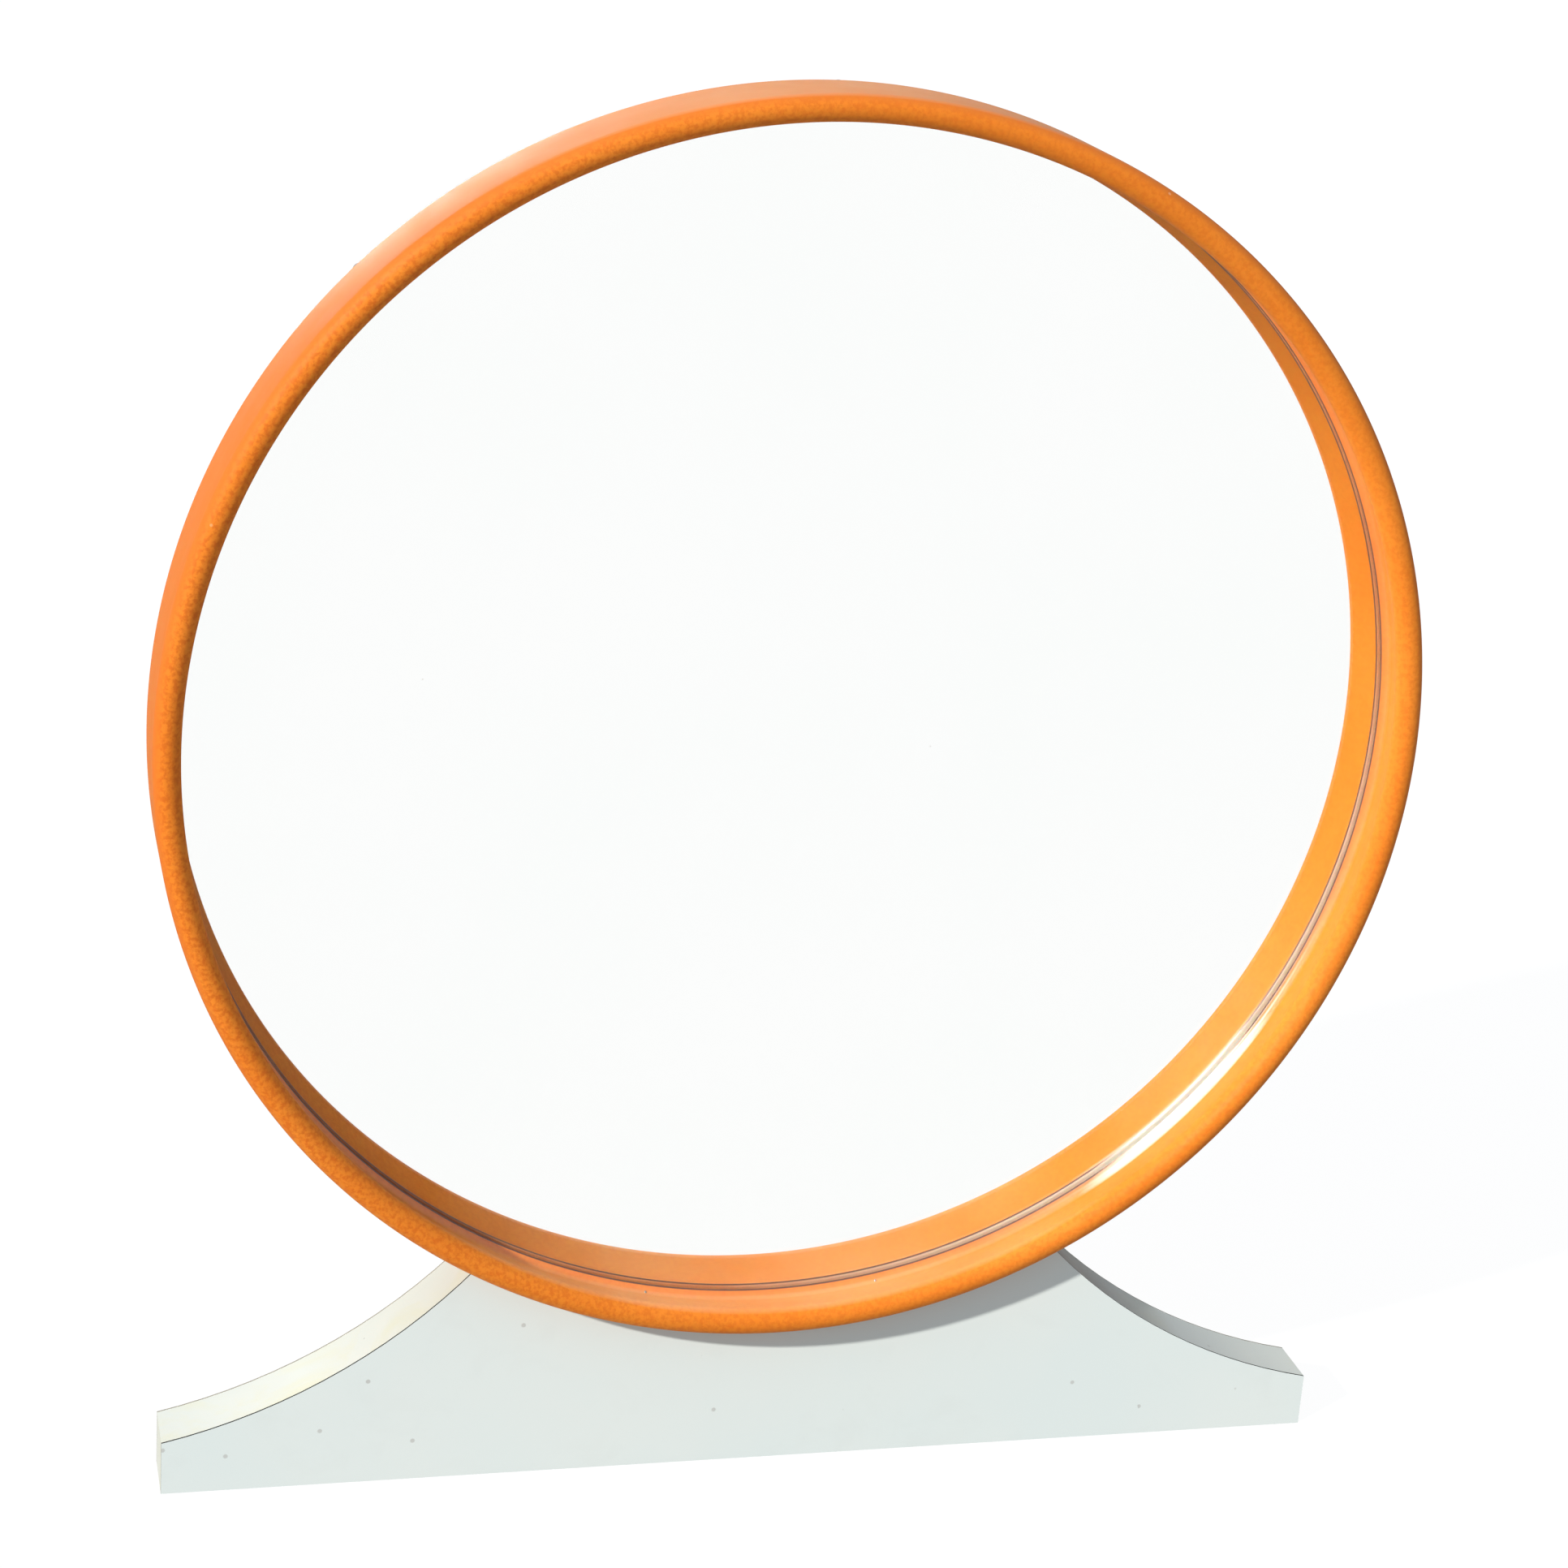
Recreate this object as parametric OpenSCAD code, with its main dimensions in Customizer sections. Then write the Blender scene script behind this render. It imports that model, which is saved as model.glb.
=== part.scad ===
// Round mirror in a plastic hoop that stands in a saddle cut in a laminated base board.
// The origin is the centre of the base's underside. +Z is up and the mirror faces -Y.
// Every flat piece is drawn as seen from the front, in X and Z, and given its depth by plate().

/* [Hoop] */
// Outer radius of the hoop
hoop_r = 308.5; // [290:0.5:330]
// Thickness of the hoop across its rounded front edge
hoop_wall = 13; // [12:0.5:16]
// How much the inner wall widens from the front edge to the glass
hoop_draft = 2.5; // [1:0.5:4]
// Depth of the hoop from front to back
hoop_depth = 48; // [44:1:60]
// How far the hoop stands out in front of the base
hoop_proud = 20; // [10:1:26]
// Thickness of the rim around the glass and its back board
rim_t = 6.2; // [6:0.1:6.8]
// Radius that rounds the hoop's rear outer edge
rear_round = 2; // [1:0.5:2]

/* [Base] */
// Width of the base
base_w = 600; // [540:1:680]
// Thickness of the chipboard core
core_t = 30; // [28:1:36]
// Thickness of the laminate sheet and edge strips
laminate_t = 1; // [0.6:0.1:1.5]
// Height of the base under the middle of the hoop
seat_h = 79.5; // [70:0.5:100]
// Height of the base's two square ends
end_h = 28; // [20:1:40]
// Radius of the hollow curve on each side of the base
side_r = 295; // [280:1:310]
// How far beyond the base's end the centre of that curve lies
side_out = 64; // [50:1:80]
// Gap for glue between the saddle and the hoop
glue_gap = 0.2; // [0.1:0.1:0.5]

/* [Mirror] */
// Distance from the base's front face back to the face of the glass
glass_setback = 13.4; // [10:0.1:15]
// Thickness of the mirror glass
glass_t = 3; // [3:1:4]
// Gap around the glass
glass_gap = 0.3; // [0.2:0.1:0.5]
// Thickness of the card between the glass and the back board
packing_t = 1.6; // [1:0.1:2.5]
// Gap around the card and the back board
board_gap = 2.3; // [2.2:0.1:3]

/* [Turn buttons] */
// Number of turn buttons
button_count = 7; // [5:2:7]
// Angle between neighbouring turn buttons
button_step = 45; // [30:5:45]
// Length of a turn button between the centres of its round ends
button_l = 22; // [16:1:26]
// Thickness of a turn button
button_t = 1.5; // [1:0.1:1.6]

/* [Foot brackets] */
// Distance from the base's end to the middle of a foot bracket
bracket_inset = 80; // [60:1:110]
// Width of a foot bracket
bracket_w = 30; // [24:1:40]
// Height of a foot bracket's upright leg
bracket_h = 40; // [36:1:44]
// Length of a foot bracket's foot
foot_l = 45; // [42:1:60]
// Thickness of the bracket's steel strip
bracket_t = 2.5; // [2:0.5:3]

/* [Hidden] */

// Segments of the large curves and of the small round pieces
large_fn = 360;
small_fn = 48;
// Extra length by which a cutter runs past the face it cuts
past = 1;

// Depths, from front to back
base_front_y = -core_t / 2 - laminate_t;
base_back_y = core_t / 2 + laminate_t;
hoop_front_y = base_front_y - hoop_proud;
hoop_back_y = hoop_front_y + hoop_depth;
glass_front_y = base_front_y + glass_setback;
packing_front_y = glass_front_y + glass_t;
board_front_y = packing_front_y + packing_t;

// Heights and radii of the hoop and what it holds
hoop_z = seat_h + hoop_r;
saddle_r = hoop_r + glue_gap;
mirror_r = hoop_r - hoop_wall + hoop_draft;
rebate_r = hoop_r - rim_t;
glass_r = rebate_r - glass_gap;
board_r = rebate_r - board_gap;

// Rounded front edge of the hoop, in its section
nose_r = hoop_wall / 2;
nose_x = hoop_r - nose_r;
nose_front = -hoop_front_y - nose_r;

// Hollow curves on the sides of the base
side_x = base_w / 2 + side_out;
side_z = end_h + sqrt(side_r * side_r - side_out * side_out);

// Wood screws that rise through the base into the hoop
hoop_screw_x = 60;
hoop_screw_y = base_front_y + 8.5;
hoop_screw_r = 2;
hoop_screw_head_r = 4;
hoop_screw_head_h = 3;
hoop_screw_seat_z = seat_h - 29.5;
hoop_screw_l = 44;
screw_play = 0.2;
counterbore_r = 4.6;

// Turn buttons and their screws, in the middle of the rim's flat rear face
pivot_r = (rebate_r + hoop_r - rear_round) / 2;
button_end_r = hoop_r - pivot_r - 0.3;
button_screw_r = 1.2;
button_play = 0.05;
button_screw_l = 12;
button_head_r = 2.6;
button_head_h = 1.6;
head_gap = 0.1;
first_angle = 90 - button_step * (button_count - 1) / 2;

// Foot brackets
bend_r = 2 * bracket_t;
corner_r = 5;
bracket_screw_z = [14, 30];
bracket_screw_r = 1.8;
bracket_screw_l = 16;
bracket_head_r = 3.6;
bracket_head_h = 2;
foot_hole_r = 2.5;
foot_hole_y = [18, 34];

// Colours
orange = [0.93, 0.45, 0.12];
laminate_white = [0.88, 0.91, 0.9];
chipboard = [0.76, 0.62, 0.43];
silver = [0.87, 0.9, 0.9];
card_brown = [0.66, 0.52, 0.36];
ply_brown = [0.78, 0.64, 0.45];
steel = [0.7, 0.71, 0.72];

// Angle of a turn button around the hoop, anticlockwise from +X as seen from the front
function button_angle(index) = first_angle + button_step * (index - 1);

// Gives a front-view outline its depth, from one Y to another
module plate(front_y, back_y) {
    translate([0, back_y, 0])
        rotate([90, 0, 0])
            linear_extrude(back_y - front_y)
                children();
}

// Disc behind the hoop's front edge, centred on the hoop
module disc(radius, front_y, thickness) {
    plate(front_y, front_y + thickness)
        translate([0, hoop_z])
            circle(radius, $fn = large_fn);
}

// Puts its children at a point on the hoop, with +X of the children pointing to its centre
module around_hoop(angle, radius, y) {
    translate([radius * cos(angle), y, hoop_z + radius * sin(angle)])
        rotate([0, 180 - angle, 0])
            children();
}

// Screw with a domed, slotted head. Its origin is under the head, and the head faces +Z.
module screw(shank_r, shank_l, head_r, head_h) {
    dome_r = head_r * 1.4;
    tip_l = shank_r * 2;
    slot_w = head_r * 0.3;
    slot_depth = head_h * 0.45;
    difference() {
        rotate_extrude($fn = small_fn)
            intersection() {
                translate([0, head_h - dome_r])
                    circle(dome_r, $fn = 2 * small_fn);
                square([head_r, head_h]);
            }
        translate([-head_r - past, -slot_w / 2, head_h - slot_depth])
            cube([2 * (head_r + past), slot_w, head_h]);
    }
    translate([0, 0, tip_l - shank_l])
        cylinder(h = shank_l - tip_l, r = shank_r, $fn = small_fn);
    translate([0, 0, -shank_l])
        cylinder(h = tip_l, r1 = shank_r * 0.2, r2 = shank_r, $fn = small_fn);
}

// Outline of the base, drawn in by one margin along its hollow sides and another at its ends
module base_outline(side_margin, end_margin) {
    difference() {
        translate([end_margin - base_w / 2, 0])
            square([base_w - 2 * end_margin, hoop_z / 2]);
        translate([0, hoop_z])
            circle(saddle_r, $fn = large_fn);
        for (side = [-1, 1])
            translate([side * side_x, side_z])
                circle(side_r + side_margin, $fn = large_fn);
    }
}

// Holes of the two hoop screws, with a counterbore from the underside
module hoop_screw_holes() {
    for (side = [-1, 1])
        translate([side * hoop_screw_x, hoop_screw_y, -past]) {
            cylinder(h = hoop_z / 2, r = hoop_screw_r + screw_play, $fn = small_fn);
            cylinder(h = hoop_screw_seat_z + past, r = counterbore_r, $fn = small_fn);
        }
}

// Holes for the bracket screws, from the back of the base to the ends of their shanks
module bracket_screw_holes() {
    for (side = [-1, 1], z = bracket_screw_z)
        translate([side * (base_w / 2 - bracket_inset), base_back_y + past, z])
            rotate([90, 0, 0])
                cylinder(h = bracket_screw_l - bracket_t + past, r = bracket_screw_r, $fn = small_fn);
}

module base_core() {
    color(chipboard)
        difference() {
            plate(-core_t / 2, core_t / 2)
                base_outline(laminate_t, laminate_t);
            hoop_screw_holes();
            bracket_screw_holes();
        }
}

module front_laminate() {
    color(laminate_white)
        plate(base_front_y, -core_t / 2)
            base_outline(0, 0);
}

module back_laminate() {
    color(laminate_white)
        difference() {
            plate(core_t / 2, base_back_y)
                base_outline(0, 0);
            bracket_screw_holes();
        }
}

// Strip on a hollow side. It runs out over the end of the base and covers the top of the end strip.
module edge_laminate(side) {
    color(laminate_white)
        plate(-core_t / 2, core_t / 2)
            intersection() {
                difference() {
                    base_outline(0, 0);
                    base_outline(laminate_t, 0);
                }
                translate([side > 0 ? 0 : -base_w, 0])
                    square([base_w, hoop_z]);
            }
}

module end_laminate(side) {
    color(laminate_white)
        plate(-core_t / 2, core_t / 2)
            intersection() {
                base_outline(laminate_t, 0);
                translate([side > 0 ? base_w / 2 - laminate_t : -base_w / 2, 0])
                    square([laminate_t, end_h]);
            }
}

// Section of the hoop: X is the radius and Y is the distance to the front of the base's middle.
// The inner wall leaves the rounded front edge at the point where the two are tangent.
module hoop_section() {
    glass_front = -glass_front_y;
    rear = -hoop_back_y;
    front = -hoop_front_y;
    run_x = nose_x - mirror_r;
    run_y = nose_front - glass_front;
    run = sqrt(run_x * run_x + run_y * run_y);
    wall_angle = atan2(run_y, run_x) + asin(nose_r / run);
    wall_l = sqrt(run * run - nose_r * nose_r);
    tangent_x = mirror_r + wall_l * cos(wall_angle);
    tangent_y = glass_front + wall_l * sin(wall_angle);
    difference() {
        polygon([
            [mirror_r, glass_front], [tangent_x, tangent_y],
            [tangent_x - nose_r, front], [hoop_r, front],
            [hoop_r, rear], [rebate_r, rear], [rebate_r, glass_front]
        ]);
        outside_circle(nose_x, nose_front, nose_r, nose_x - 2 * nose_r, tangent_y);
        outside_circle(nose_x, nose_front, nose_r, nose_x, nose_front);
        outside_circle(hoop_r - rear_round, rear + rear_round, rear_round, hoop_r - rear_round, rear - rear_round);
    }
}

// Cutter that rounds a corner: a square from a low corner, without the circle it leaves standing
module outside_circle(x, y, radius, low_x, low_y) {
    difference() {
        translate([low_x, low_y])
            square(2 * radius);
        translate([x, y])
            circle(radius, $fn = 2 * small_fn);
    }
}

module hoop() {
    color(orange)
        difference() {
            translate([0, 0, hoop_z])
                rotate([90, 0, 0])
                    rotate_extrude($fn = large_fn)
                        hoop_section();
            for (side = [-1, 1])
                translate([side * hoop_screw_x, hoop_screw_y, 0])
                    cylinder(h = hoop_screw_seat_z + hoop_screw_l, r = hoop_screw_r, $fn = small_fn);
            for (index = [1 : button_count])
                around_hoop(button_angle(index), pivot_r, hoop_back_y + past)
                    rotate([90, 0, 0])
                        cylinder(h = button_screw_l, r = button_screw_r, $fn = small_fn);
        }
}

module hoop_screws() {
    color(steel)
        for (side = [-1, 1])
            translate([side * hoop_screw_x, hoop_screw_y, hoop_screw_seat_z])
                rotate([180, 0, 0])
                    screw(hoop_screw_r, hoop_screw_l, hoop_screw_head_r, hoop_screw_head_h);
}

module mirror_glass() {
    color(silver)
        disc(glass_r, glass_front_y, glass_t);
}

module packing_sheet() {
    color(card_brown)
        disc(board_r, packing_front_y, packing_t);
}

module back_board() {
    color(ply_brown)
        disc(board_r, board_front_y, hoop_back_y - board_front_y);
}

// Flat steel bar with round ends that pivots on its screw and overlaps the back board
module turn_button(index) {
    color(steel)
        around_hoop(button_angle(index), pivot_r, 0)
            plate(hoop_back_y, hoop_back_y + button_t)
                difference() {
                    union() {
                        for (x = [0, button_l])
                            translate([x, 0])
                                circle(button_end_r, $fn = small_fn);
                        translate([0, -button_end_r])
                            square([button_l, 2 * button_end_r]);
                    }
                    circle(button_screw_r + button_play, $fn = small_fn);
                }
}

module turn_button_screws() {
    color(steel)
        for (index = [1 : button_count])
            around_hoop(button_angle(index), pivot_r, hoop_back_y + button_t + head_gap)
                rotate([-90, 0, 0])
                    screw(button_screw_r, button_screw_l, button_head_r, button_head_h);
}

// Flat tab along +Y with its two far corners rounded
module tab(length) {
    translate([-bracket_w / 2, 0])
        square([bracket_w, length - corner_r]);
    translate([corner_r - bracket_w / 2, 0])
        square([bracket_w - 2 * corner_r, length]);
    for (side = [-1, 1])
        translate([side * (bracket_w / 2 - corner_r), length - corner_r])
            circle(corner_r, $fn = small_fn);
}

// Steel angle behind the base: an upright leg, a bend and a foot that lies on the table
module foot_bracket(side) {
    color(steel)
        translate([side * (base_w / 2 - bracket_inset), base_back_y, 0])
            difference() {
                union() {
                    translate([0, 0, bend_r])
                        plate(0, bracket_t)
                            tab(bracket_h - bend_r);
                    translate([0, bend_r, 0])
                        linear_extrude(bracket_t)
                            tab(foot_l - bend_r);
                    translate([-bracket_w / 2, bend_r, bend_r])
                        rotate([90, 0, 90])
                            linear_extrude(bracket_w)
                                bend_section();
                }
                for (z = bracket_screw_z)
                    translate([0, -past, z])
                        rotate([-90, 0, 0])
                            cylinder(h = bracket_t + 2 * past, r = bracket_screw_r + screw_play, $fn = small_fn);
                for (y = foot_hole_y)
                    translate([0, y, -past])
                        cylinder(h = bracket_t + 2 * past, r = foot_hole_r, $fn = small_fn);
            }
}

// Quarter of a ring that joins the bracket's leg to its foot
module bend_section() {
    difference() {
        intersection() {
            circle(bend_r, $fn = small_fn);
            translate([-bend_r, -bend_r])
                square(bend_r);
        }
        circle(bend_r - bracket_t, $fn = small_fn);
    }
}

module bracket_screws() {
    color(steel)
        for (side = [-1, 1], z = bracket_screw_z)
            translate([side * (base_w / 2 - bracket_inset), base_back_y + bracket_t, z])
                rotate([-90, 0, 0])
                    screw(bracket_screw_r, bracket_screw_l, bracket_head_r, bracket_head_h);
}

base_core();
front_laminate();
back_laminate();
edge_laminate(-1);  // left_edge_laminate
edge_laminate(1);  // right_edge_laminate
end_laminate(-1);  // left_end_laminate
end_laminate(1);  // right_end_laminate
hoop();
hoop_screws();
mirror_glass();
packing_sheet();
back_board();
turn_button(1);  // turn_button_1
turn_button(2);  // turn_button_2
turn_button(3);  // turn_button_3
turn_button(4);  // turn_button_4
turn_button(5);  // turn_button_5
turn_button(6);  // turn_button_6
turn_button(7);  // turn_button_7
turn_button_screws();
foot_bracket(-1);  // left_foot_bracket
foot_bracket(1);  // right_foot_bracket
bracket_screws();
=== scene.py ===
"""Looks of the round table mirror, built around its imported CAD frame. Lengths are in metres."""

import math

import bmesh
import bpy
from mathutils import Matrix, Vector


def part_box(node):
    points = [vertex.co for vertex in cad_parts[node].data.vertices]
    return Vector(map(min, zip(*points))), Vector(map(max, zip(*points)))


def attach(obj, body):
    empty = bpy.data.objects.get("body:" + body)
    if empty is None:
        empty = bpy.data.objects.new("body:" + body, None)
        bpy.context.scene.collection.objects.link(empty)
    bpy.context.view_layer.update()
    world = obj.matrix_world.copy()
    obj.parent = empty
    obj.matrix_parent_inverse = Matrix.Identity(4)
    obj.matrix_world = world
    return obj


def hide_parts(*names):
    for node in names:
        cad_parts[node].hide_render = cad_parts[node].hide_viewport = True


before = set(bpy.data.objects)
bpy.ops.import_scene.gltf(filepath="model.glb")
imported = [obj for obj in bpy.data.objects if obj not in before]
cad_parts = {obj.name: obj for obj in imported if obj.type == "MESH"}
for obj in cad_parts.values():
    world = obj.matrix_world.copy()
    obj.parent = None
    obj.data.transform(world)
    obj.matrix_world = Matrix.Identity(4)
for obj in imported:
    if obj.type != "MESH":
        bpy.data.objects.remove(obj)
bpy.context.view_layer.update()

MM = 0.001

# ---------------------------------------------------------------- driving values

# Hoop and glass, taken from the frame's boxes
hoop_low, hoop_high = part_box("hoop")
glass_low, glass_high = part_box("mirror_glass")
HOOP_R = (hoop_high.x - hoop_low.x) / 2
HOOP_Z = (hoop_high.z + hoop_low.z) / 2
HOOP_FRONT = hoop_low.y
HOOP_BACK = hoop_high.y
GLASS_R = (glass_high.x - glass_low.x) / 2
GLASS_FRONT = glass_low.y
GLASS_BACK = glass_high.y

# Hoop section. A rounded lip sits on the glass from SEAM_R outward, and a hollow foot joins it to the wall
HOOP_WALL = 13 * MM
SEAM_R = HOOP_R - 10.5 * MM
LIP_R = 1.2 * MM
LIP_LEAN = 60  # degrees
FOOT_R = 4.5 * MM
REAR_ROUND = 2 * MM
RIM_ROUND = 0.3 * MM
SHOULDER_GAP = 0.05 * MM

# Mirror section: the gaps round its edge and behind its silver, and the bevel on its edges
GLASS_GAP = 0.3 * MM
SILVER_GAP = 0.1 * MM
ARRIS = 0.4 * MM

# Roundness of the lathed pieces, and the angle above which one of their edges stays sharp
SEGMENTS = 720
SHARP_ANGLE = math.radians(35)

# Marks stored on the hoop's mesh
CREVICE_SHADE_WIDTH = 0.3 * MM
UNDERSIDE_FADE = 0.4 * LIP_R
OUTER_DEPTH = 4 * MM
OUTER_FADE = 3.5 * MM

# Direction from the hoop's middle to its lower right corner, where the sun falls on the inner wall
SUNNY_CORNER = (0.725, 0.0, -0.688)

# Camera
CAMERA_TARGET = Vector((-9.45 * MM, -16 * MM, 366.4 * MM))
CAMERA_DISTANCE = 1.638
CAMERA_AZIMUTH = math.radians(-14.94)
CAMERA_ELEVATION = math.radians(18.87)
CAMERA_ROLL = math.radians(4.16)
CAMERA_LENS = 78.6

# Lamps. A direction points at the lamp
LAMP_COLOUR = (1.0, 0.97, 0.92)
SUN_DIRECTION = Vector((-0.73, -0.47, 0.50))
SUN_STRENGTH = 3.8
SUN_ANGLE = math.radians(2.0)
FILL_DIRECTION = Vector((0.0, 1.0, 0.0))
FILL_STRENGTH = 1.8
FILL_ANGLE = math.radians(12.0)
BOUNCE_DISTANCE = 60.0
BOUNCE_SPREAD = math.radians(1.5)
BOUNCE_SHARE = 0.95

# Surroundings
SKY_LOW = (0.30, 0.33, 0.36)
SKY_HIGH = (0.52, 0.60, 0.70)
WHITE = (1.0, 1.0, 1.0)
FLOOR_REACH = 40.0
FLOOR_GREY = (0.07, 0.07, 0.07)
FLOOR_GLOW = 0.95
GROUND_COLOUR = (1.0, 0.99, 0.97)
GROUND_GLOW = 0.42


# ---------------------------------------------------------------- node graphs

class Graph:
    """Node tree of a material, lamp or world. Inputs are numbers, colours or other nodes' outputs."""

    def __init__(self, holder, output="ShaderNodeOutputMaterial"):
        self.holder = holder
        holder.use_nodes = True
        self.tree = holder.node_tree
        self.tree.nodes.clear()
        self.output = self.tree.nodes.new(output)

    def node(self, kind, inputs=None, **settings):
        made = self.tree.nodes.new(kind)
        for key, value in settings.items():
            setattr(made, key, value)
        for key, value in (inputs or {}).items():
            self.feed(made.inputs[key], value)
        return made

    def feed(self, socket, value):
        if isinstance(value, bpy.types.NodeSocket):
            self.tree.links.new(value, socket)
            return
        if isinstance(value, tuple) and len(value) == 3 and len(socket.default_value) == 4:
            value = value + (1.0,)
        socket.default_value = value

    def position(self, scale=(1.0, 1.0, 1.0)):
        """Place on the object in metres, stretched by a scale for each axis."""
        return self.stretch(self.node("ShaderNodeTexCoord").outputs["Object"], scale)

    def stretch(self, vector, scale):
        return self.node("ShaderNodeMapping", {"Vector": vector, "Scale": scale}).outputs["Vector"]

    def axes(self, vector):
        return self.node("ShaderNodeSeparateXYZ", {"Vector": vector}).outputs

    def stored(self, name):
        """Value that mark() stored on the mesh."""
        return self.node("ShaderNodeAttribute", attribute_name=name).outputs["Fac"]

    def noise(self, vector, scale, detail=3.0, roughness=0.5, distortion=0.0):
        inputs = {
            "Vector": vector, "Scale": scale, "Detail": detail,
            "Roughness": roughness, "Distortion": distortion,
        }
        return self.node("ShaderNodeTexNoise", inputs).outputs["Fac"]

    def ramp(self, value, low, high, to_low=0.0, to_high=1.0):
        """Straight ramp from to_low at low to to_high at high, and level beyond both."""
        inputs = {
            "Value": value, "From Min": low, "From Max": high,
            "To Min": to_low, "To Max": to_high,
        }
        return self.node("ShaderNodeMapRange", inputs).outputs["Result"]

    def math(self, operation, first, second=0.0):
        return self.node("ShaderNodeMath", {0: first, 1: second}, operation=operation).outputs["Value"]

    def vector_math(self, operation, inputs, output="Vector"):
        return self.node("ShaderNodeVectorMath", inputs, operation=operation).outputs[output]

    def times(self, product, *factors):
        for factor in factors:
            product = self.math("MULTIPLY", product, factor)
        return product

    def mix(self, share, first, second):
        """Colour that runs from the first at 0 to the second at 1."""
        inputs = {"Factor": share, "A": first, "B": second}
        return self.node("ShaderNodeMix", inputs, data_type="RGBA").outputs["Result"]

    def specks(self, vector, scale, size, share):
        """Scattered round spots: 1 inside a spot. Only this share of the cells has one."""
        cells = self.node("ShaderNodeTexVoronoi", {"Vector": vector, "Scale": scale, "Randomness": 1.0})
        pick = self.node("ShaderNodeSeparateColor", {"Color": cells.outputs["Color"]})
        chosen = self.math("LESS_THAN", pick.outputs["Red"], share)
        reach = self.ramp(pick.outputs["Green"], 0.0, 1.0, size * 0.4, size)
        near = self.math("SUBTRACT", 1.0, self.math("DIVIDE", cells.outputs["Distance"], reach))
        return self.times(self.ramp(near, 0.0, 0.35), chosen)

    def bump(self, height, strength, distance):
        inputs = {"Height": height, "Strength": strength, "Distance": distance}
        return self.node("ShaderNodeBump", inputs).outputs["Normal"]

    def shader(self, kind, inputs):
        return self.node(kind, inputs).outputs[0]

    def either(self, share, first, second):
        """The first shader at 0, the second at 1."""
        return self.shader("ShaderNodeMixShader", {0: share, 1: first, 2: second})

    def show(self, shader):
        self.tree.links.new(shader, self.output.inputs["Surface"])
        return self.holder

    def surface(self, inputs):
        return self.show(self.shader("ShaderNodeBsdfPrincipled", inputs))


def material_graph(name):
    return Graph(bpy.data.materials.new(name))


# ---------------------------------------------------------------- materials

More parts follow.
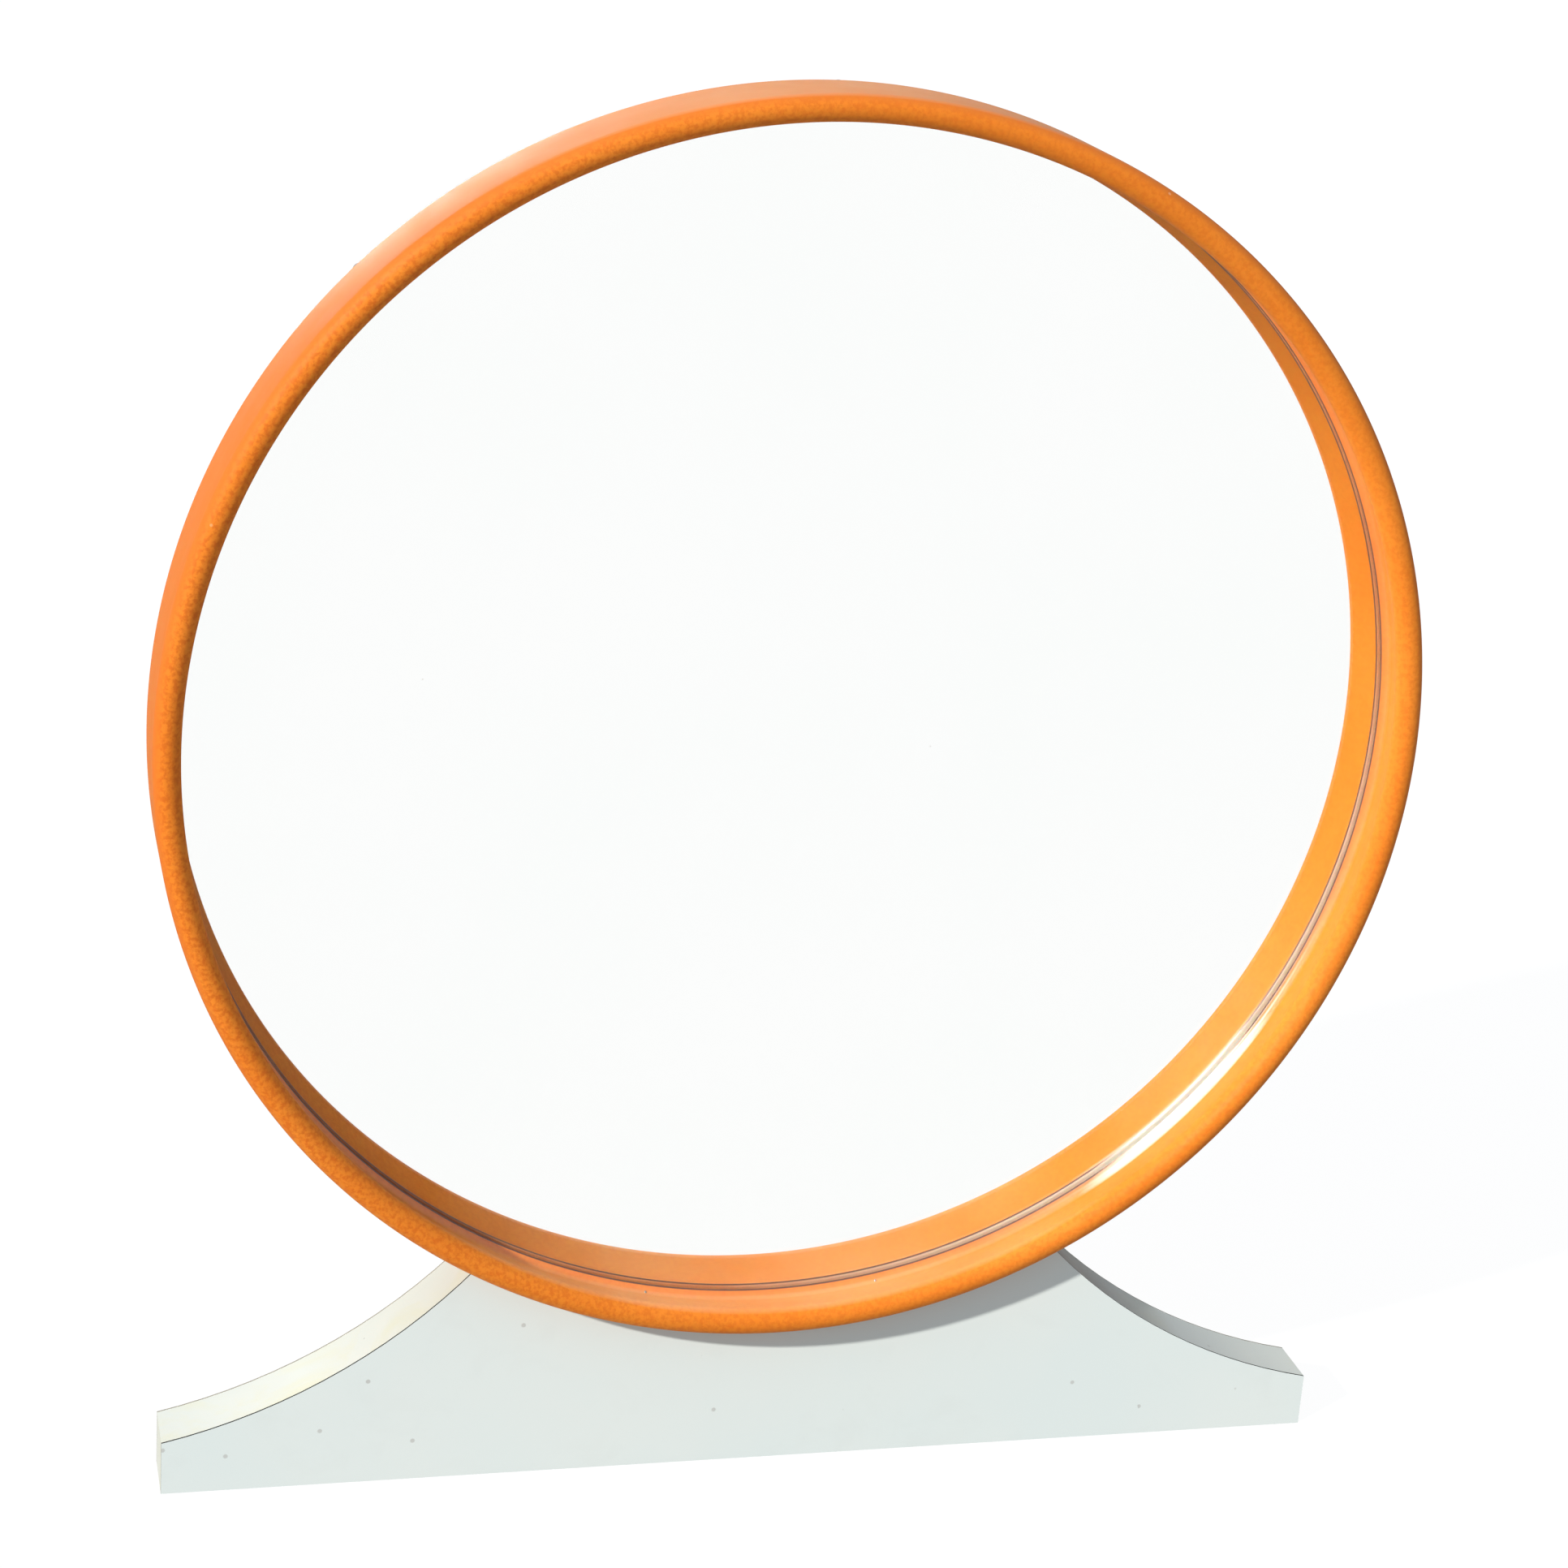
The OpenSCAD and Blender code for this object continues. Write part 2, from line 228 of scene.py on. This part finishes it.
def hoop_plastic():
    """Moulded orange plastic: satin outside, glossier at its foot, with pale dust and painted sheen where it
    faces up, painted shade on its upper outer side, and a painted glint and crevice shade by the glass.
    """
    g = material_graph("hoop_plastic")
    where = g.position()
    place = g.axes(where)
    facing = g.axes(g.node("ShaderNodeNewGeometry").outputs["Normal"])
    outside = g.stored("outside")

    # Cloudy orange with darker mottling, strongest in front and toward -X
    cloud = g.noise(where, 14.0, 3.0)
    mottle = g.noise(where, 420.0, 4.0, 0.6)
    colour = g.mix(g.ramp(cloud, 0.35, 0.65), (0.82, 0.235, 0.020), (0.85, 0.265, 0.027))
    grain = g.ramp(place["Y"], HOOP_FRONT, HOOP_FRONT + HOOP_WALL, 0.6, 0.25)
    weathered = g.ramp(place["X"], -220 * MM, 50 * MM, 1.35, 0.7)
    blotch = g.times(grain, weathered, g.ramp(mottle, 0.42, 0.60))
    colour = g.mix(blotch, colour, (0.68, 0.145, 0.012))

    # Painted shade: a deeper colour on the upper outer side, where the sun falls full on it. Pale dust, with
    # painted sheen, where it faces up
    upper_painted_shade = g.ramp(place["Z"], HOOP_Z - 220 * MM, HOOP_Z - 100 * MM)
    colour = g.mix(g.times(outside, upper_painted_shade), colour, (0.69, 0.175, 0.022))
    # Paler where it faces up: partly settled dust, partly painted sheen
    settled_dust_and_sheen = g.times(g.ramp(facing["Z"], 0.80, 1.0), g.ramp(cloud, 0.3, 0.7, 0.25, 0.45))
    colour = g.mix(settled_dust_and_sheen, colour, (0.84, 0.52, 0.30))
    dust = g.specks(where, 95.0, 0.10, 0.04)
    colour = g.mix(g.times(dust, 0.4), colour, (0.85, 0.55, 0.33))

    # How far a point belongs to the hollow foot: 1 by the glass and 0 up the wall, outside and behind
    inside = g.math("SUBTRACT", g.ramp(place["Y"], GLASS_FRONT, GLASS_FRONT + 1 * MM, 1.0, 0.0), outside)
    foot = g.ramp(place["Y"], GLASS_FRONT - 8 * MM, GLASS_FRONT - 4.5 * MM)
    foot = g.times(foot, g.math("MAXIMUM", inside, 0.0))

    # Painted highlight in the joint by the glass, thickest in the sunny corner: the lip's underside, seen in
    # the mirror, is painted pale, and there the foot is painted near white as a glint and the dark crevice
    # line is left out
    along = g.vector_math("DOT_PRODUCT", {0: where, 1: SUNNY_CORNER}, "Value")
    toward_corner = g.math("ADD", along, -SUNNY_CORNER[2] * HOOP_Z)
    underside_painted_highlight = g.ramp(toward_corner, 190 * MM, 285 * MM, 0.12, 0.95)
    painted_glint = g.ramp(toward_corner, 292.5 * MM, 297.2 * MM)
    colour = g.mix(g.times(g.stored("underside"), underside_painted_highlight), colour, (0.95, 0.80, 0.64))
    # Painted glint: the foot is painted near white where the sun's highlight falls
    colour = g.mix(g.times(foot, painted_glint, 0.8), colour, (1.0, 0.92, 0.84))
    # Painted shade: a dark line in the crevice where the lip meets the glass, left out under the painted
    # glint
    colour = g.mix(g.times(g.stored("grime"), g.math("SUBTRACT", 1.0, painted_glint)), colour, (0.10, 0.035, 0.014))

    fine = g.noise(where, 1500.0, 2.0)
    height = g.math("ADD", g.times(mottle, 0.6), g.times(fine, 0.4))
    worn = g.ramp(g.noise(where, 60.0, 4.0), 0.3, 0.7, -0.04, 0.04)
    return g.surface({
        "Base Color": colour,
        "Roughness": g.math("ADD", g.ramp(foot, 0.0, 1.0, 0.54, 0.38), worn),
        "IOR": g.ramp(foot, 0.0, 1.0, 1.4, 2.0),
        "Specular IOR Level": g.ramp(foot, 0.0, 1.0, 0.2, 0.5),
        "Normal": g.bump(height, g.ramp(foot, 0.0, 1.0, 0.3, 0.05), 0.12 * MM),
        "Subsurface Weight": 0.35,
        "Subsurface Radius": (1.0, 0.35, 0.12),
        "Subsurface Scale": 3 * MM,
    })


def laminate(name, warm, cool, speck_share, stained, corner_shade):
    """Glossy white laminate with smudges and dust. Painted shade darkens a strip where it runs up to the
    hoop.
    """
    g = material_graph(name)
    where = g.position()
    colour = g.mix(g.ramp(g.noise(where, 9.0, 4.0), 0.35, 0.65), warm, cool)
    smudge = g.ramp(g.noise(where, 30.0, 5.0, 0.6, 0.4), 0.55, 0.8)
    colour = g.mix(g.times(smudge, 0.12), colour, (0.58, 0.60, 0.57))
    stain = g.ramp(g.noise(where, 22.0, 4.0, 0.6, 0.8), 0.5, 0.72)
    colour = g.mix(g.times(stain, stained), colour, (0.74, 0.72, 0.50))
    dust = g.times(g.specks(where, 130.0, 0.19, speck_share), g.ramp(smudge, 0.0, 1.0, 0.45, 0.8))
    colour = g.mix(dust, colour, (0.38, 0.34, 0.31))
    aside = g.math("ABSOLUTE", g.axes(where)["X"])
    # Painted shade where the strip runs up to the hoop, which shades it
    colour = g.mix(g.ramp(aside, 160 * MM, 230 * MM, corner_shade, 0.0), colour, (0.12, 0.12, 0.10))
    return g.surface({
        "Base Color": colour,
        "Roughness": g.ramp(g.noise(where, 45.0, 5.0), 0.3, 0.7, 0.32, 0.46),
        "IOR": 1.5,
        "Normal": g.bump(g.noise(where, 1100.0, 2.0), 0.2, 0.05 * MM),
    })


def laminate_core(name, dark, light):
    """Cut edge of the laminate sheet, with its pressed paper layers."""
    g = material_graph(name)
    layers = g.noise(g.position((1.0, 9.0, 1.0)), 700.0, 2.0)
    return g.surface({
        "Base Color": g.mix(g.ramp(layers, 0.3, 0.7), dark, light),
        "Roughness": g.ramp(layers, 0.3, 0.7, 0.6, 0.8),
        "IOR": 1.3,
        "Normal": g.bump(layers, 0.3, 0.05 * MM),
    })


def chipboard():
    """Pressed wood chips: bent cells of many browns, with dark seams between them."""
    g = material_graph("chipboard")
    where = g.position((1.0, 2.2, 1.0))
    wander = g.node("ShaderNodeTexNoise", {"Vector": where, "Scale": 90.0, "Detail": 2.0})
    shift = g.vector_math("SCALE", {0: wander.outputs["Color"], "Scale": 6 * MM})
    bent = g.vector_math("ADD", {0: where, 1: shift})
    chips = g.node("ShaderNodeTexVoronoi", {"Vector": bent, "Scale": 260.0})
    tone = g.node("ShaderNodeSeparateColor", {"Color": chips.outputs["Color"]}).outputs["Red"]
    seam = g.ramp(chips.outputs["Distance"], 0.3, 0.7)
    colour = g.mix(g.ramp(tone, 0.0, 1.0), (0.30, 0.18, 0.085), (0.62, 0.44, 0.25))
    return g.surface({
        "Base Color": g.mix(g.times(seam, 0.5), colour, (0.16, 0.095, 0.045)),
        "Roughness": 0.82,
        "IOR": 1.45,
        "Normal": g.bump(g.math("SUBTRACT", g.times(tone, 0.5), seam), 0.6, 0.3 * MM),
    })


def clear_glass():
    """Glass with a faint film. It lets light straight through to what lies behind it."""
    g = material_graph("clear_glass")
    film = g.ramp(g.noise(g.position(), 6.0, 4.0), 0.4, 0.7)
    glass = g.shader("ShaderNodeBsdfPrincipled", {
        "Base Color": g.mix(film, (1.0, 1.0, 0.995), (0.985, 0.995, 0.985)),
        "Roughness": 0.0,
        "IOR": 1.5,
        "Transmission Weight": 1.0,
    })
    clear = g.shader("ShaderNodeBsdfTransparent", {"Color": (0.93, 0.95, 0.94)})
    return g.show(g.either(g.node("ShaderNodeLightPath").outputs["Is Shadow Ray"], glass, clear))


def ground_edge():
    """Ground edge of the glass."""
    g = material_graph("ground_edge")
    grit = g.noise(g.position(), 1800.0, 3.0)
    return g.surface({
        "Base Color": g.mix(g.ramp(grit, 0.3, 0.7), (0.30, 0.36, 0.33), (0.46, 0.52, 0.48)),
        "Roughness": g.ramp(grit, 0.3, 0.7, 0.4, 0.6),
        "IOR": 1.5,
        "Normal": g.bump(grit, 0.2, 0.03 * MM),
    })


def silvering():
    """Silver seen through the glass, and the dull backing paint on its rear."""
    g = material_graph("silvering")
    where = g.position()
    tarnish = g.specks(where, 60.0, 0.08, 0.04)
    silver = g.shader("ShaderNodeBsdfPrincipled", {
        "Base Color": g.mix(g.times(tarnish, 0.3), (0.97, 0.975, 0.97), (0.55, 0.5, 0.42)),
        "Metallic": 1.0,
        "Roughness": 0.0,
    })
    coat = g.shader("ShaderNodeBsdfPrincipled", {
        "Base Color": g.mix(g.noise(where, 240.0, 4.0), (0.16, 0.08, 0.06), (0.24, 0.13, 0.10)),
        "Roughness": 0.6,
    })
    seen_from_inside = g.node("ShaderNodeNewGeometry").outputs["Backfacing"]
    return g.show(g.either(seen_from_inside, coat, silver))


def card():
    """Brown packing card with its fibres."""
    g = material_graph("card")
    fibres = g.noise(g.position((1.0, 1.0, 4.0)), 500.0, 5.0, 0.7)
    return g.surface({
        "Base Color": g.mix(g.ramp(fibres, 0.3, 0.7), (0.30, 0.22, 0.14), (0.44, 0.34, 0.22)),
        "Roughness": 0.9,
        "IOR": 1.4,
        "Normal": g.bump(fibres, 0.4, 0.2 * MM),
    })


def plywood():
    """Unvarnished plywood with its face grain running across the board."""
    g = material_graph("plywood")
    drift = g.noise(g.position((1.2, 1.0, 2.5)), 3.0, 3.0)
    lifted = g.node("ShaderNodeCombineXYZ", {"Z": g.times(drift, 0.05)}).outputs["Vector"]
    bent = g.vector_math("ADD", {0: g.position(), 1: lifted})
    strands = g.stretch(bent, (0.03, 1.0, 1.0))
    bands = g.noise(strands, 45.0, 5.0, 0.6)
    fibres = g.noise(strands, 420.0, 4.0, 0.7)
    pores = g.ramp(g.noise(g.stretch(bent, (0.06, 1.0, 1.0)), 1500.0, 1.0), 0.62, 0.68)
    stain = g.ramp(g.noise(g.position(), 7.0, 5.0, 0.6), 0.55, 0.75)
    colour = g.mix(g.ramp(bands, 0.3, 0.7), (0.46, 0.27, 0.13), (0.72, 0.51, 0.29))
    colour = g.mix(g.ramp(fibres, 0.45, 0.75, 0.0, 0.5), colour, (0.33, 0.18, 0.08))
    colour = g.mix(g.times(pores, 0.65), colour, (0.16, 0.08, 0.035))
    return g.surface({
        "Base Color": g.mix(g.times(stain, 0.22), colour, (0.26, 0.17, 0.10)),
        "Roughness": g.ramp(fibres, 0.3, 0.7, 0.5, 0.75),
        "IOR": 1.45,
        "Normal": g.bump(g.math("SUBTRACT", g.times(fibres, 0.5), pores), 0.45, 0.2 * MM),
    })


def steel(name, tint, worn, rough_low, rough_high):
    """Zinc-plated steel with small stains, spots of rust and fine scratches."""
    g = material_graph(name)
    where = g.position()
    plate = g.noise(where, 120.0, 5.0, 0.6)
    scratch = g.noise(g.position((9.0, 9.0, 0.6)), 260.0, 3.0)
    rust = g.ramp(g.noise(where, 210.0, 6.0, 0.7), 0.66, 0.76)
    colour = g.mix(g.ramp(plate, 0.3, 0.7), tint, worn)
    return g.surface({
        "Base Color": g.mix(g.times(rust, 0.6), colour, (0.20, 0.085, 0.03)),
        "Metallic": g.ramp(rust, 0.0, 1.0, 1.0, 0.35),
        "Roughness": g.ramp(scratch, 0.3, 0.7, rough_low, rough_high),
        "Normal": g.bump(g.math("ADD", scratch, plate), 0.12, 0.05 * MM),
    })


# ---------------------------------------------------------------- shapes

def arc(centre_r, centre_y, radius, start, end, steps):
    """Points of an arc in the hoop's section. Angles are in degrees, 0 outward and -90 to the front."""
    points = []
    for step in range(steps + 1):
        angle = math.radians(start + (end - start) * step / steps)
        points.append((centre_r + radius * math.cos(angle), centre_y + radius * math.sin(angle)))
    return points


def hoop_profile():
    """Closed section of the hoop as (radius, y), from the lip on the glass round the front to the rebate."""
    nose_r = HOOP_WALL / 2
    nose_x = HOOP_R - nose_r
    nose_y = HOOP_FRONT + nose_r
    rebate_x = GLASS_R + GLASS_GAP
    shoulder_y = GLASS_FRONT - SHOULDER_GAP
    lip_x = SEAM_R + LIP_R
    lip_y = shoulder_y - LIP_R
    foot_x = lip_x - (LIP_R + FOOT_R) * math.cos(math.radians(LIP_LEAN))
    foot_y = lip_y - (LIP_R + FOOT_R) * math.sin(math.radians(LIP_LEAN))

    # The wall is the line between the hollow foot and the round nose that touches both
    run = math.hypot(nose_x - foot_x, nose_y - foot_y)
    heading = math.degrees(math.atan2(nose_y - foot_y, nose_x - foot_x))
    wall_angle = heading - math.degrees(math.asin((FOOT_R + nose_r) / run))

    lip = arc(lip_x, lip_y, LIP_R, 90, 180 + LIP_LEAN, steps=18)
    foot = arc(foot_x, foot_y, FOOT_R, LIP_LEAN, wall_angle + 90, steps=16)
    nose = arc(nose_x, nose_y, nose_r, wall_angle - 90, 0, steps=40)
    rear = arc(HOOP_R - REAR_ROUND, HOOP_BACK - REAR_ROUND, REAR_ROUND, 0, 90, steps=8)
    rim = arc(rebate_x + RIM_ROUND, HOOP_BACK - RIM_ROUND, RIM_ROUND, 90, 180, steps=4)
    wall = []
    for share in (0.25, 0.5, 0.75):
        wall.append(tuple(a + (b - a) * share for a, b in zip(foot[-1], nose[0])))
    return lip + foot[1:] + wall + nose + rear + rim + [(rebate_x, shoulder_y)]


def glass_profile():
    """Half section of the glass from its front middle to its back middle."""
    back_y = GLASS_BACK - SILVER_GAP
    return [
        (0.0, GLASS_FRONT), (GLASS_R - ARRIS, GLASS_FRONT), (GLASS_R, GLASS_FRONT + ARRIS),
        (GLASS_R, back_y - ARRIS), (GLASS_R - ARRIS, back_y), (0.0, back_y),
    ]


def lathe(name, profile):
    """Turns a (radius, y) profile round the hoop's axis. One that starts on the axis also ends on it."""
    mesh = bpy.data.meshes.new(name)
    shape = bmesh.new()
    solid = profile[0][0] == 0.0
    poles = {}
    if solid:
        for point in (0, len(profile) - 1):
            poles[point] = shape.verts.new((0.0, profile[point][1], HOOP_Z))
    rings = []
    for segment in range(SEGMENTS):
        angle = 2 * math.pi * segment / SEGMENTS
        ring = []
        for point, (radius, y) in enumerate(profile):
            place = (radius * math.cos(angle), y, HOOP_Z + radius * math.sin(angle))
            ring.append(poles[point] if point in poles else shape.verts.new(place))
        rings.append(ring)
    count = len(profile)
    for segment in range(SEGMENTS):
        here = rings[segment]
        there = rings[(segment + 1) % SEGMENTS]
        for point in range(count - 1 if solid else count):
            after = (point + 1) % count
            corners = [here[point], here[after], there[after], there[point]]
            shape.faces.new(list(dict.fromkeys(corners)))
    bmesh.ops.recalc_face_normals(shape, faces=shape.faces)
    shape.to_mesh(mesh)
    shape.free()
    mesh.shade_smooth()
    mesh.set_sharp_from_angle(angle=SHARP_ANGLE)
    piece = bpy.data.objects.new(name, mesh)
    bpy.context.scene.collection.objects.link(piece)
    return piece


def mark(piece, name, share):
    """Stores share(radius, y), held between 0 and 1, on a lathed piece's points. Its material reads it."""
    attribute = piece.data.attributes.new(name, "FLOAT", "POINT")
    for vertex, value in zip(piece.data.vertices, attribute.data):
        radius = math.hypot(vertex.co.x, vertex.co.z - HOOP_Z)
        value.value = min(1.0, max(0.0, share(radius, vertex.co.y)))


def lip_crevice_shade(radius, y):
    """Painted shade: a dark line along the inner side of the hoop's lip, in the crevice where it meets the
    glass. It fades from half its width outward.
    """
    if y < GLASS_FRONT - 2 * LIP_R:
        return 0.0
    return 1.5 - (radius - SEAM_R) / CREVICE_SHADE_WIDTH


def lip_underside(radius, y):
    """The lip's rounded underside, which is seen only in the mirror."""
    if radius > GLASS_R or y > GLASS_FRONT:
        return 0.0
    return (y - (GLASS_FRONT - LIP_R)) / UNDERSIDE_FADE


def outer_side(radius, y):
    """The hoop's outer side, at every depth."""
    return (radius - (HOOP_R - OUTER_DEPTH)) / OUTER_FADE


def paint(node, *materials):
    """Gives a CAD node its materials. Every face starts with the first one."""
    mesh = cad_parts[node].data
    mesh.materials.clear()
    for material in materials:
        mesh.materials.append(material)
    for polygon in mesh.polygons:
        polygon.material_index = 0
    return mesh


def paint_sheet(node, face, edge):
    """Paints an upright sheet: one material on its front and back, another on its cut edges."""
    mesh = paint(node, face, edge)
    for polygon in mesh.polygons:
        if abs(polygon.normal.y) <= 0.5:
            polygon.material_index = 1


# ---------------------------------------------------------------- the object

def place_hoop():
    """The moulded hoop, with a finer section than the CAD's plain wall."""
    piece = lathe("hoop_moulding", hoop_profile())
    piece.data.materials.append(hoop_plastic())
    mark(piece, "grime", lip_crevice_shade)
    mark(piece, "underside", lip_underside)
    mark(piece, "outside", outer_side)
    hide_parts("hoop")
    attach(piece, "stand")
    return piece


def place_mirror():
    """The glass, silvered on its back and ground round its edge."""
    piece = lathe("mirror_plate", glass_profile())
    for material in (clear_glass(), silvering(), ground_edge()):
        piece.data.materials.append(material)
    for polygon in piece.data.polygons:
        if polygon.normal.y > 0.9:
            polygon.material_index = 1
        elif polygon.normal.y > -0.9:
            polygon.material_index = 2
    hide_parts("mirror_glass")
    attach(piece, "stand")


def paint_base():
    """Chipboard under white laminate, whose cut edge is dark in front and pale behind."""
    face = laminate(
        "face_laminate", warm=(0.80, 0.85, 0.82), cool=(0.77, 0.84, 0.82),
        speck_share=0.09, stained=0.0, corner_shade=0.0,
    )
    dark_edge = laminate_core("laminate_dark_edge", dark=(0.012, 0.012, 0.010), light=(0.035, 0.033, 0.028))
    pale_edge = laminate_core("laminate_pale_edge", dark=(0.26, 0.24, 0.19), light=(0.40, 0.37, 0.30))
    paint_sheet("front_laminate", face, dark_edge)
    paint_sheet("back_laminate", face, pale_edge)

    strip_white = {"warm": (0.76, 0.76, 0.67), "cool": (0.72, 0.74, 0.67), "speck_share": 0.15}
    left = laminate("left_strip_laminate", **strip_white, stained=0.6, corner_shade=0.22)
    right = laminate("right_strip_laminate", **strip_white, stained=0.3, corner_shade=0.75)
    for strip in ("edge_laminate", "end_laminate"):
        paint("left_" + strip, left)
        paint("right_" + strip, right)
    paint("base_core", chipboard())


def paint_metal():
    """Bright zinc on the screws, and duller plating on the brackets and turn buttons."""
    zinc = steel(
        "zinc_plate", tint=(0.62, 0.63, 0.62), worn=(0.50, 0.50, 0.47),
        rough_low=0.28, rough_high=0.48,
    )
    strip_steel = steel(
        "strip_steel", tint=(0.50, 0.51, 0.52), worn=(0.38, 0.38, 0.38),
        rough_low=0.34, rough_high=0.55,
    )
    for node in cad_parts:
        if node.endswith("_screws"):
            paint(node, zinc)
        elif node.endswith("_bracket") or node.startswith("turn_button"):
            paint(node, strip_steel)


hoop = place_hoop()
place_mirror()
paint("packing_sheet", card())
paint("back_board", plywood())
paint_base()
paint_metal()


# ---------------------------------------------------------------- floor, light and camera

def seen_plainly(g):
    """1 for what the camera sees directly or in the mirror, 0 for light that a rough surface gathers."""
    path = g.node("ShaderNodeLightPath").outputs
    plain = g.math("LESS_THAN", path["Diffuse Depth"], 0.5)
    once = g.math("LESS_THAN", path["Glossy Depth"], 1.5)
    mirrored = g.times(path["Is Singular Ray"], g.times(plain, once))
    return g.math("MAXIMUM", path["Is Camera Ray"], mirrored)


def floor():
    """Floor that looks white, yet throws only a soft light up at the object."""
    mesh = bpy.data.meshes.new("floor")
    far = FLOOR_REACH
    mesh.from_pydata([(-far, -far, 0), (far, -far, 0), (far, far, 0), (-far, far, 0)], [], [(0, 1, 2, 3)])
    made = bpy.data.objects.new("floor", mesh)
    bpy.context.scene.collection.objects.link(made)
    g = material_graph("floor")
    shaded = g.shader("ShaderNodeBsdfDiffuse", {"Color": FLOOR_GREY})
    glow = g.shader("ShaderNodeEmission", {"Color": WHITE, "Strength": FLOOR_GLOW})
    seen = g.shader("ShaderNodeAddShader", {0: shaded, 1: glow})
    ground = g.shader("ShaderNodeEmission", {"Color": GROUND_COLOUR, "Strength": GROUND_GLOW})
    mesh.materials.append(g.show(g.either(seen_plainly(g), ground, seen)))


def sky():
    """Soft sky that looks white to the camera and in the mirror."""
    world = bpy.data.worlds.new("sky")
    bpy.context.scene.world = world
    world.cycles.sampling_method = "NONE"
    g = Graph(world, "ShaderNodeOutputWorld")
    up = g.axes(g.node("ShaderNodeTexCoord").outputs["Generated"])["Z"]
    soft = g.shader("ShaderNodeBackground", {"Color": g.mix(g.ramp(up, 0.0, 0.9), SKY_LOW, SKY_HIGH)})
    white = g.shader("ShaderNodeBackground", {"Color": WHITE})
    g.show(g.either(seen_plainly(g), soft, white))


def distant_lamp(name, direction, strength, angle):
    """Parallel light that comes from this direction."""
    lamp = bpy.data.lights.new(name, "SUN")
    lamp.energy = strength
    lamp.angle = angle
    lamp.color = LAMP_COLOUR
    made = bpy.data.objects.new(name, lamp)
    made.rotation_mode = "QUATERNION"
    made.rotation_quaternion = direction.to_track_quat("Z", "Y")
    bpy.context.scene.collection.objects.link(made)
    return made


def collect(name, pieces):
    """Collection of the pieces that a lamp lights."""
    made = bpy.data.collections.new(name)
    for piece in pieces:
        made.objects.link(piece)
    return made


def rear_fill():
    """Weak light from straight behind. The bare steel there is left out, since it would only glare."""
    made = distant_lamp("rear_fill", FILL_DIRECTION, FILL_STRENGTH, FILL_ANGLE)
    pieces = (hoop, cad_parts["back_board"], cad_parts["back_laminate"])
    made.light_linking.receiver_collection = collect("lit_by_rear_fill", pieces)


def mirror_bounce():
    """Sunlight that the mirror throws back on to the hoop's inner wall: a far lamp behind the mirror.

    It shines only through the mirror's disc, and only the hoop is lit by it or blocks it.
    """
    direction = Vector((SUN_DIRECTION.x, -SUN_DIRECTION.y, SUN_DIRECTION.z)).normalized()
    across = Vector((0, 1, 0)).cross(direction).normalized()
    along = direction.cross(across)
    lamp = bpy.data.lights.new("mirror_bounce", "SPOT")
    lamp.energy = SUN_STRENGTH * BOUNCE_SHARE * 4 * math.pi * BOUNCE_DISTANCE ** 2
    lamp.shadow_soft_size = BOUNCE_DISTANCE * math.tan(SUN_ANGLE / 2)
    lamp.spot_size = BOUNCE_SPREAD
    lamp.spot_blend = 0.0
    lamp.color = LAMP_COLOUR
    made = bpy.data.objects.new("mirror_bounce", lamp)
    middle = Vector((0, GLASS_FRONT, HOOP_Z))
    turn = Matrix((across, along, direction)).transposed()
    made.matrix_world = Matrix.Translation(middle + direction * BOUNCE_DISTANCE) @ turn.to_4x4()
    bpy.context.scene.collection.objects.link(made)
    lit = collect("lit_by_mirror_bounce", (hoop,))
    made.light_linking.receiver_collection = lit
    made.light_linking.blocker_collection = lit

    # The lamp sees the mirror's disc squashed to an ellipse, and only rays inside it pass
    g = Graph(lamp, "ShaderNodeOutputLight")
    ray = g.axes(g.node("ShaderNodeTexCoord").outputs["Normal"])
    aside = g.math("DIVIDE", ray["X"], ray["Z"])
    raised = g.math("DIVIDE", g.math("DIVIDE", ray["Y"], ray["Z"]), direction.y)
    reach = g.math("ADD", g.times(aside, aside), g.times(raised, raised))
    passes = g.math("LESS_THAN", reach, (GLASS_R / BOUNCE_DISTANCE) ** 2)
    g.show(g.shader("ShaderNodeEmission", {"Strength": passes}))


def camera():
    """Camera that looks down at the mirror from the -X side, rolled a little."""
    lens = bpy.data.cameras.new("camera")
    lens.lens = CAMERA_LENS
    lens.sensor_width = 36.0
    lens.clip_start = 0.05
    lens.clip_end = 200.0
    back = Vector((
        math.sin(CAMERA_AZIMUTH) * math.cos(CAMERA_ELEVATION),
        -math.cos(CAMERA_AZIMUTH) * math.cos(CAMERA_ELEVATION),
        math.sin(CAMERA_ELEVATION),
    ))
    level = (-back).cross(Vector((0, 0, 1))).normalized()
    upright = level.cross(-back)
    right = level * math.cos(CAMERA_ROLL) + upright * math.sin(CAMERA_ROLL)
    up = upright * math.cos(CAMERA_ROLL) - level * math.sin(CAMERA_ROLL)
    made = bpy.data.objects.new("camera", lens)
    turn = Matrix((right, up, back)).transposed()
    made.matrix_world = Matrix.Translation(CAMERA_TARGET + back * CAMERA_DISTANCE) @ turn.to_4x4()
    bpy.context.scene.collection.objects.link(made)
    bpy.context.scene.camera = made


floor()
sky()
distant_lamp("sun", SUN_DIRECTION, SUN_STRENGTH, SUN_ANGLE)
rear_fill()
mirror_bounce()
camera()
bpy.context.scene.view_settings.view_transform = "Standard"
